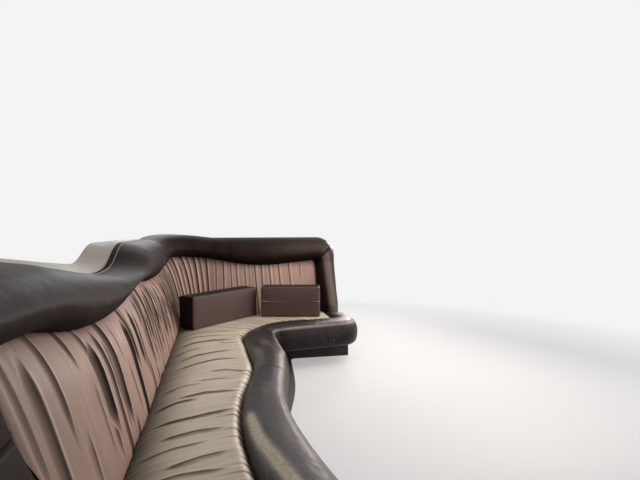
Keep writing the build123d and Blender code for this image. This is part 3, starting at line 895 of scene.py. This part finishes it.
def top_roll_relief(X, Y, Z, S, V):
    """How far the roll's face stands out, in metres, and how much painted shade darkens the corner's
    creases.
    """
    soft = lumps(S, V, (0.0020, 3.6, 1.8, 31), (0.0008, 14, 4.5, 32), (0.0004, 46, 11, 33))
    corner = smooth(Y, 1.0, 1.12) * (1 - smooth(X, -0.06, 0.08))
    ribs = ripple(S / 0.021 + 1.5 / math.pi * noise(S * 8, V, 34))
    band = corner * window(V, 0.12, 0.3, 0.7, 0.9)
    pucker = 0.0065 * band * (ribs - 0.6)
    bend = bell(X - 0.590, 0.040) * bell(Z - 0.605, 0.050)
    pucker += 0.006 * bend * (ripple(S / 0.014) - 0.7)
    swoop = bell(Y - 0.12, 0.14) * (X < -0.4)
    drag = -0.0022 * swoop * np.abs(noise(S * 11 - V * 3.0, V * 1.4, 36)) * smooth(V, 0.0, 0.2)
    relief = (soft + pucker + drag) * window(V, 0.02, 0.2, 0.86, 0.98)
    return relief, 0.9 * band * (1 - ribs) ** 2


def top_roll():
    """Top roll and end roll in one: along the side, round the corner, along the rear and down."""
    P, side_count = top_roll_rings()
    N = normals(P)
    n, m = P.shape[:2]
    S = columns(lengths(P[:, FACE_MIDDLE]), m)
    V = np.arange(m)[None, :] / FACE_POINTS * np.ones((n, 1))
    X, Y, Z = P[:, :, 0], P[:, :, 1], P[:, :, 2]
    relief, creases = top_roll_relief(X, Y, Z, S, V)
    past_mitre = MITRE_SLOPE * (X - SEAT_END_X) - (Z - MITRE_Z)
    joint = bell((Y + 0.035 * (V - 0.5)) - 0.665, 0.0038) * (X < -0.4)
    seams = (joint + bell(past_mitre, 0.0050) * (X > 0.55)) * (V < 0.98)
    # Painted shade on the roll's underside and in the corner's creases; painted sheen makes the end
    # roll's face and the rear roll's upper face paler
    underside_shade = 0.6 * smooth(V, 0.66, 0.96)
    painted_sheen = 0.15 * smooth(past_mitre, -0.002, 0.004) * (X > 0.55) * smooth(V, 0.30, 0.50)
    painted_sheen += 0.07 * smooth(X, 0.05, 0.50) * (past_mitre < 0) * (Y > 1.0) * bell(V - 0.42, 0.20)
    dark = np.clip(seams + 0.30 * bell(V, 0.024) + creases + underside_shade, 0, 1) - painted_sheen
    P = P + N * (relief - 0.0045 * seams)[:, :, None]
    obj = tube("top_roll", P, "roll_leather", BLACK, fold=dark)
    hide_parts("top_roll_side", "top_roll_corner", "top_roll_rear", "end_roll_right")
    row = P[:side_count, 1] + 0.0010 * N[:side_count, 1]
    stitches("top_roll_stitches", along(row, 900), "roll_leather", THREAD, 0.0016)
    k = int(np.argmin(np.abs(P[:side_count, FACE_MIDDLE, 1] - TOP_STITCH_Y)))
    row = P[k, 2:40] + 0.0006 * N[k, 2:40]
    stitches("top_roll_joint_stitches", along(row, 200), "roll_leather", THREAD, 0.0008)


def ledge():
    """Padded strip under the windows, from the sill line down to the seam with the top roll."""
    ys = np.arange(Y_NEAR + 0.001, Y_TURN + 0.004, 0.010)
    x0, x1 = X_WALL + 0.001, X_CREASE - ROLL_BACK - 0.0012
    shut = [(x1, 0.640), (x1, LEDGE_LOW_Z), (x0, LEDGE_LOW_Z), (x0, 0.640)]
    rings = []
    for y in ys:
        hi, seam = float(sill_high(y)), float(side_high(y))
        top = [(x0, hi - 0.006)]
        top += [(x0 + (x1 - x0) * k, hi + (seam - hi) * k + 0.002 * math.sin(k * math.pi))
                for k in (0.06, 0.25, 0.5, 0.75, 0.92)]
        top += [(x1 - 0.002, seam - 0.001), (x1, seam - 0.010)]
        line = along(spline(top), LEDGE_POINTS)
        rings.append([(x, y, z) for x, z in list(line) + shut])
    P = np.array(rings)
    S = ys[:, None]
    V = np.arange(LEDGE_POINTS)[None, :] / (LEDGE_POINTS - 1)
    uneven = lumps(S, V, (0.0020, 5, 1.5, 61), (0.0008, 22, 3, 62))
    P[:, :LEDGE_POINTS, 2] += uneven * np.sin(V * math.pi)
    # Pale colour: painted glare from the windows
    obj = tube("window_ledge", P, "roll_leather", LEDGE_GLARE)
    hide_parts("ledge")
    row = P[:, LEDGE_POINTS - 3] + (0, 0, 0.0010)
    stitches("window_ledge_stitches", along(row, 900), "roll_leather", THREAD, 0.0016)


# Matching points on the pad's border and on the roll's outer border, x and y in millimetres
FRONT_PAIRS = [
    ((-24, -1290), (170, -1290)), ((-72, -1000), (112, -1000)), ((-100, -723), (80, -680)),
    ((-60, -450), (100, -420)), ((-12, -168), (145, -140)), ((-13, 150), (176, 130)),
    ((-19, 380), (175, 340)), ((5, 560), (175, 470)), ((85, 680), (190, 515)),
    ((200, 745), (235, 540)), ((369, 776), (370, 565)), ((538, 787), (600, 609)),
    ((566, 800), (700, 655)), ((578, 829), (732, 740)), ((578, 1015), (735, 1015)),
]
# Front roll's section over the top, then under it: fraction from the pad border to the outer
# border, and height
FRONT_SECTION = [(0.000, 0.236), (0.030, 0.252), (0.140, 0.265), (0.360, 0.270), (0.620, 0.269),
                 (0.830, 0.258), (0.950, 0.231), (1.000, 0.192), (0.994, 0.160), (0.950, 0.128),
                 (0.870, 0.113)]
FRONT_UNDER = [(0.80, 0.1125), (0.78, 0.1315), (0.40, 0.1315), (0.02, 0.1315), (0.0, 0.18)]
FRONT_POINTS, FRONT_MIDDLE = 56, 28
JOINT_Y = -0.235
WELT_V = 0.795


def front_roll_relief(X, Y, S, V):
    """How far the roll's surface stands out, in metres, and how dark it is: dark seams, and painted
    shade in the creases.
    """
    soft = lumps(S, V, (0.0022, 5, 2, 41), (0.0010, 17, 5, 42), (0.0004, 60, 16, 43))
    teeth = ripple(S / 0.024 + noise(S * 7, 0, 44) / math.pi) - 0.5
    gather = 0.0014 * np.exp(-V / 0.06) * teeth
    bend = bell(X - 0.215, 0.060) * bell(Y - 0.530, 0.055)
    ribs = ripple(S / 0.015)
    pucker = 0.0070 * bend * (ribs - 0.75) * smooth(V, 0.40, 0.7)
    wrap = bell(X - 0.60, 0.06) * bell(Y - 0.80, 0.07)
    pucker += 0.0030 * wrap * (ripple(S / 0.016) - 0.7) * (1 - smooth(V, 0.3, 0.6))
    sag = -0.003 * bell(Y + 0.62, 0.16) * np.sin(np.clip(V, 0, 1) * math.pi)
    face = window(V, 0, 0.12, 0.93, 1)
    joint = bell(Y + 0.205 + 0.35 * (X - 0.05), 0.0040) * face
    welt = bell(V - WELT_V + 0.018, 0.008) + bell(V - WELT_V - 0.018, 0.008)
    out = (soft + gather + pucker + sag) * face - 0.0045 * joint - 0.002 * welt
    creases = bend * (1 - ribs) ** 2 * smooth(V, 0.4, 0.6)
    return out, np.clip(joint + 0.6 * welt + creases, 0, 1)


def front_roll_highlight_and_wear(X, Y, S, V):
    """How far the colour turns pale: a painted highlight along the line above the welt, one painted
    highlight streak, and a few patches of wear.
    """
    rub = 0.75 * bell(V - 0.735, 0.024) * (0.75 + 0.25 * noise(S * 7, 0, 45))
    streak = V - 0.13 - 0.35 * (-0.69 - Y) - 0.015 * noise(S * 9, 0, 46)
    rub += 1.8 * bell(streak, 0.072) * smooth(-Y, 0.64, 0.74) * (X < 0.2)
    rub += 0.18 * np.clip(noise(S * 6, V * 5, 47), 0, 1) * (X < 0.2)
    return np.clip(rub, 0, 1) * (V < 1)


def front_roll():
    """Front roll with its piping seam, in two pieces that meet where a joint is sewn."""
    A, B = stations(PAD_BORDER, ROLL_BORDER, FRONT_PAIRS, 0.006)
    sec = np.concatenate([along(spline(FRONT_SECTION), FRONT_POINTS), np.array(FRONT_UNDER)])
    n, m = len(A), len(sec)
    P = np.zeros((n, m, 3))
    P[:, :, :2] = A[:, None] + sec[None, :, :1] * (B - A)[:, None]
    P[:, :, 2] = sec[None, :, 1]
    N = normals(P)
    S = columns(lengths(P[:, FRONT_MIDDLE]), m)
    V = np.minimum(np.arange(m) / (FRONT_POINTS - 1), 1.2)[None, :] * np.ones((n, 1))
    X, Y = P[:, :, 0], P[:, :, 1]
    out, dark = front_roll_relief(X, Y, S, V)
    rub = front_roll_highlight_and_wear(X, Y, S, V)
    P = P + N * out[:, :, None]
    belly = 0.012 * smooth(V, 0.35, 0.6) * (1 - smooth(Y, -0.62, -0.42)) * (V < 1.1)
    P[:, :, 0] += belly * (1 - 0.7 * smooth(-Y, 0.75, 1.0))
    P[:, :, 2] -= 0.012 * smooth(Y, 0.93, 1.012) ** 2 * (X > 0.5) * smooth(P[:, :, 2], 0.15, 0.27)
    line = P[:, FRONT_MIDDLE]
    cut = int(np.argmin(np.abs(line[:, 1] - JOINT_Y) + 10 * (line[:, 0] > 0.4)))
    for name, node, part in (("front_roll_near_end", "front_roll_near", slice(0, cut + 1)),
                             ("front_roll_long", "front_roll_main", slice(cut, None))):
        # Dark seams and painted shade in the creases, and pale marks that are painted highlights and
        # patches of wear
        obj = tube(name, P[part], "roll_leather", WORN_SHEEN, fold=dark[part], rub=rub[part])
        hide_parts(node)
    k = int(WELT_V * (FRONT_POINTS - 1))
    rope("front_roll_welt", along(P[:, k], 900), 0.0026, "roll_leather", WORN_SHEEN)
    for name, j in (("front_roll_stitches_upper", k - 2), ("front_roll_stitches_lower", k + 3)):
        stitches(name, along(P[:, j] + 0.0006 * N[:, j], 1200), "roll_leather", WORN_SHEEN, 0.0009)


top_roll()
ledge()
front_roll()


# Box cushions and the near end
CLOTH = {"quality": 5, "mass": 0.4, "tension_stiffness": 12, "compression_stiffness": 12,
         "bending_stiffness": 1.5, "use_pressure": True, "uniform_pressure_force": 3.0}


def get_points(mesh):
    """Places of a mesh's vertices."""
    co = np.empty(len(mesh.vertices) * 3)
    mesh.vertices.foreach_get("co", co)
    return co.reshape(-1, 3)


def set_points(mesh, points):
    mesh.vertices.foreach_set("co", points.ravel())
    mesh.update()


def relax(obj, keep, cap=0.0045, frames=18):
    """Let air pressure round a stuffed piece out as cloth, then limit how far it moved."""
    rest = get_points(obj.data)
    group = obj.vertex_groups.new(name="sewn")
    group.add([int(i) for i in np.nonzero(keep(rest))[0]], 1.0, "REPLACE")
    mod = obj.modifiers.new("cloth", "CLOTH")
    for key, value in CLOTH.items():
        setattr(mod.settings, key, value)
    mod.settings.effector_weights.gravity = 0
    mod.settings.vertex_group_mass = "sewn"
    mod.collision_settings.use_collision = False
    scene = bpy.context.scene
    for f in range(1, frames + 1):
        scene.frame_set(f)
    posed = obj.evaluated_get(bpy.context.evaluated_depsgraph_get())
    shift = get_points(posed.to_mesh()) - rest
    posed.to_mesh_clear()
    obj.modifiers.remove(mod)
    obj.vertex_groups.remove(group)
    scene.frame_set(1)
    size = np.linalg.norm(shift, axis=1, keepdims=True)
    set_points(obj.data, rest + shift * np.minimum(1, cap / np.maximum(size, 1e-9)))


def subdivide(obj):
    """Round the mesh by one level of subdivision."""
    mod = obj.modifiers.new("finer", "SUBSURF")
    mod.levels = mod.render_levels = 1
    dg = bpy.context.evaluated_depsgraph_get()
    mesh = bpy.data.meshes.new_from_object(obj.evaluated_get(dg))
    obj.modifiers.remove(mod)
    obj.data = mesh
    mesh.polygons.foreach_set("use_smooth", [True] * len(mesh.polygons))


CELL = 0.0085
CUSHION_EDGE = 0.013
CUSHION_PANEL = 0.010


def block_mesh(size):
    """Vertices and faces of a block whose edges are rounded, in cells of about one size."""
    n = [max(3, int(round(v / CELL))) for v in size]
    place, verts, faces = {}, [], []

    def corner(key):
        if key not in place:
            q = np.array(key) / n * size
            core = np.clip(q, CUSHION_EDGE, size - CUSHION_EDGE)
            place[key] = len(verts)
            verts.append(core + CUSHION_EDGE * (q - core) / np.linalg.norm(q - core))
        return place[key]

    for axis in range(3):
        a, b = [(1, 2), (2, 0), (0, 1)][axis]
        for end in (0, n[axis]):
            for i in range(n[a]):
                for j in range(n[b]):
                    quad = []
                    for di, dj in ((0, 0), (1, 0), (1, 1), (0, 1)):
                        key = [0, 0, 0]
                        key[axis], key[a], key[b] = end, i + di, j + dj
                        quad.append(corner(tuple(key)))
                    faces.append(quad if end else quad[::-1])
    return verts, faces


def turned(local, turn, at):
    """Points of a cushion set down on the seat, turned about its front lower corner."""
    w = math.radians(turn)
    x = at[0] / 1000 + local[:, 0] * math.cos(w) - local[:, 1] * math.sin(w)
    y = at[1] / 1000 + local[:, 0] * math.sin(w) + local[:, 1] * math.cos(w)
    return np.stack([x, y, SEAT_TOP + local[:, 2]], -1)


def seam_loop(size, depth):
    """Rounded rectangle just inside the rim of a cushion's face, at some depth behind the front."""
    r, e = 0.012, 0.0030
    loop = []
    for cx, cz, a0 in ((size[0] - r - e, r + e, -90), (size[0] - r - e, size[2] - r - e, 0),
                       (r + e, size[2] - r - e, 90), (r + e, r + e, 180)):
        for t in np.radians(np.linspace(a0, a0 + 90, 7)):
            loop.append((cx + r * math.cos(t), depth, cz + r * math.sin(t)))
    return along(loop + loop[:1], 160)


def cushion_surface(co, size, fold):
    """Uneven front and top of a cushion, and the fold across a folded one's front."""
    front = 1 - smooth(co[:, 1], 0.0, 0.020)
    co[:, 1] += front * 0.0010 * noise(co[:, 0] * 9, co[:, 2] * 9, 71)
    top = smooth(co[:, 2], size[2] - 0.02, size[2])
    co[:, 2] += top * 0.0014 * noise(co[:, 0] * 7, co[:, 1] * 7, 72)
    if fold:
        above = co[:, 2] - 0.5 * size[2]
        co[:, 1] -= front * 0.0040 * smooth(above, 0.001, 0.004)
        co[:, 1] += front * 0.0050 * bell(above + 0.002, 0.0030)
    co[:, 2] = np.maximum(co[:, 2], 0.0008)


def box_cushion(name, node, size, turn, at, fold):
    """Firm boxed cushion: rounded block, puffed as cloth, with corded seams round both faces."""
    size = np.array(size) / 1000
    verts, faces = block_mesh(size)
    obj = make_mesh(name, verts, faces, "cushion_leather", BROWN)

    def sewn(p):
        """Which vertices hold still: those near an edge or near the foot."""
        gap = np.sort(np.minimum(p, size - p), axis=1)
        return (gap[:, 1] < 0.010) | (p[:, 2] < 0.012)

    relax(obj, sewn)
    subdivide(obj)
    obj.data.materials.append(BLACK)
    for face in obj.data.polygons:
        face.material_index = int(CUSHION_PANEL < face.center.y < size[1] - CUSHION_PANEL)
    co = get_points(obj.data)
    cushion_surface(co, size, fold)
    set_points(obj.data, turned(co, turn, at))
    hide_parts(node)
    for face, depth in (("front", 0.0035), ("back", size[1] - 0.0035)):
        path = turned(seam_loop(size, depth), turn, at)
        rope(f"{name}_cord_{face}", path, 0.0026, "cushion_leather", BROWN)
    if fold:
        lip = np.stack([np.linspace(0.006, size[0] - 0.006, 60), np.full(60, -0.0030),
                        np.full(60, 0.5 * size[2] + 0.0030)], -1)
        # Pale cord along the fold's lip: painted highlight
        rope(f"{name}_cord_fold", turned(lip, turn, at), 0.0036, "cushion_leather", CUSHION_LIP_HIGHLIGHT)


def end_panel(name, node, outline, y0, y1, rim, centre, seed):
    """Upholstered panel: an outline in x and z, thick along y, its rims rounded and faces puffed."""
    ring = along(outline + outline[:1], 181)[:-1]
    c = np.array(centre)
    tangent = np.roll(ring, -1, 0) - np.roll(ring, 1, 0)
    inward = np.stack([-tangent[:, 1], tangent[:, 0]], -1)
    inward /= np.linalg.norm(inward, axis=1, keepdims=True)
    if ((c - ring) * inward).sum() < 0:
        inward = -inward
    inner = ring + inward * rim
    angles = np.radians(np.linspace(0, 90, 7))
    near = [(c + s * (inner - c), y0) for s in (0.03, 0.2, 0.4, 0.6, 0.8, 0.93)]
    near += [(ring + inward * rim * (1 - math.sin(a)), y0 + rim * (1 - math.cos(a))) for a in angles]
    rows = near + [(ring, y) for y in np.linspace(y0 + rim, y1 - rim, 8)[1:-1]]
    rows += [(pts, y0 + y1 - y) for pts, y in near[::-1]]
    P = np.array([[(x, y, z) for x, z in pts] for pts, y in rows])
    uneven = lumps(P[:, :, 0] + P[:, :, 1], P[:, :, 2], (0.0016, 9, 9, seed))
    obj = tube(name, P + uneven[:, :, None] * normals(P), "roll_leather", BLACK)
    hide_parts(node)


# Outline of the arm, from the riser over its top and down at the aisle: x, z, radius, millimetres
ARM_TOP = [(-487, 505, 0), (-440, 405, 40), (110, 330, 60), (125, 132, 0)]


def near_end():
    """Arm across the near end of the side bench, and the upright roll that stands on it."""
    y0, y1 = Y_NEAR + 0.001, Y_PAD_NEAR - 0.001
    wall = X_WALL + 0.002
    arm = [tuple(p) for p in rounded(ARM_TOP, 10)] + [(wall, 0.132), (wall, ARM_HEAD_Z)]
    end_panel("near_arm", "arm_near", arm, y0, y1, 0.012, (-0.35, 0.28), 81)
    foot, low = ARM_HEAD_Z + 0.002, float(side_low(Y_NEAR)) - 0.004
    ledge_x, ledge_z = X_CREASE - ROLL_BACK + 0.001, 0.598
    rail_x, rail_z = X_WALL + RAIL, 0.559
    riser = [(X_CREASE - RAKE * (foot - KNEE_Z), foot), (X_CREASE - RAKE * (low - KNEE_Z), low),
             (ledge_x, low), (ledge_x, ledge_z), (rail_x, ledge_z), (rail_x, rail_z),
             (wall, rail_z), (wall, foot)]
    end_panel("near_riser", "end_roll_near", riser, y0, y1, 0.009, (-0.61, 0.54), 82)


# Pieces, nodes, sizes, turns in degrees, x and y of the front corner, and whether it is folded;
# lengths in millimetres
CUSHIONS = [
    ("box_cushion_turned", "box_cushion_left", (575, 128, 195), 45.0, (-294, 646), False),
    ("box_cushion_folded", "box_cushion_right", (398, 125, 205), -12.6, (130, 969), True),
]
for row in CUSHIONS:
    box_cushion(*row)
near_end()

# Boards, rails and brackets keep their solid shapes and get their real materials
FINISHES = {"floor_angle": ZINC, "plinth": KICK}
for name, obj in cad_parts.items():
    finish = next((m for start, m in FINISHES.items() if name.startswith(start)), PLYWOOD)
    obj.data.materials.clear()
    obj.data.materials.append(finish)


# Floor, lights and world
def show_white(nt, kind, soft, factor, output):
    """White in place of a soft shader, for as many rays as the factor says."""
    white = add(nt, kind, Color=(1, 1, 1, 1), Strength=0.9)
    seen = add(nt, "MixShader", Fac=factor)
    plug(nt, soft.outputs[0], seen.inputs[1])
    plug(nt, white.outputs[0], seen.inputs[2])
    feed(nt, nt.nodes[output], Surface=seen.outputs[0])


def stage_floor():
    """Pale floor that keeps the shadow near the object and fades to white further out."""
    bpy.ops.mesh.primitive_plane_add(size=40, location=(0, 0, 0))
    floor = bpy.context.object
    floor.name = "floor"
    mat, nt, bsdf = new_material("floor")
    feed(nt, bsdf, Base_Color=(0.58, 0.58, 0.58, 1), Roughness=0.8)
    far = add(nt, "VectorMath", operation="LENGTH", Vector=own_place(nt)).outputs["Value"]
    fade = calc(nt, "MULTIPLY", remap(nt, far, 1.2, 3.4, 0.40, 1.0), background_rays(nt))
    show_white(nt, "Emission", bsdf, fade, "Material Output")
    floor.data.materials.append(mat)


def area(name, place, target, size, power, color):
    """Rectangular lamp at a place, turned to a target and unseen by the camera."""
    data = bpy.data.lights.new(name, "AREA")
    data.shape = "RECTANGLE"
    data.size, data.size_y = size
    data.energy = power
    data.color = color
    lamp = bpy.data.objects.new(name, data)
    lamp.location = place
    lamp.rotation_euler = (Vector(target) - Vector(place)).to_track_quat("-Z", "Y").to_euler()
    lamp.visible_camera = False
    bpy.context.scene.collection.objects.link(lamp)


WARM, COOL, WHITE = (1.0, 0.95, 0.90), (0.94, 0.97, 1.0), (1.0, 0.98, 0.96)
ROSE = (1.0, 0.86, 0.82)
# Names, places, targets, sizes across and along, watts and colours
LIGHTS = [
    ("windows_right", (1.8, 0.6, 1.2), (-0.4, -0.2, 0.4), (2.4, 0.9), 35, WARM),
    ("windows_left", (-1.05, -0.85, 1.10), (0.35, 1.0, 0.6), (1.5, 0.42), 4.5, COOL),
    ("corner_window", (-0.75, 2.3, 1.35), (-0.5, 1.0, 0.8), (0.7, 0.7), 5, COOL),
    ("ceiling", (0.0, 0.5, 2.2), (-0.1, 0.2, 0.2), (0.8, 2.2), 9, WHITE),
    ("bar_strip", (0.95, 0.45, 1.45), (0.65, 1.00, 0.50), (0.35, 1.1), 10, ROSE),
    ("aisle_window", (1.1, -0.9, 0.75), (0.45, 1.10, 0.45), (0.4, 0.4), 6, ROSE),
    ("rear_glow", (1.5, 2.5, 1.0), (0.0, -0.5, 0.30), (0.4, 0.25), 22, ROSE),
    ("front_fill", (0.6, -2.9, 1.6), (0.0, 0.6, 0.4), (1.4, 0.8), 1, WHITE),
]


def world_light():
    """Weak even light on the object; plain white to the camera, in gloss and through glass."""
    world = bpy.data.worlds.new("world")
    bpy.context.scene.world = world
    world.use_nodes = True
    nt = world.node_tree
    soft = nt.nodes["Background"]
    feed(nt, soft, Color=(0.96, 0.97, 1.0, 1), Strength=0.055)
    show_white(nt, "Background", soft, background_rays(nt), "World Output")


stage_floor()
for row in LIGHTS:
    area(*row)
world_light()
bpy.context.scene.view_settings.view_transform = "Standard"
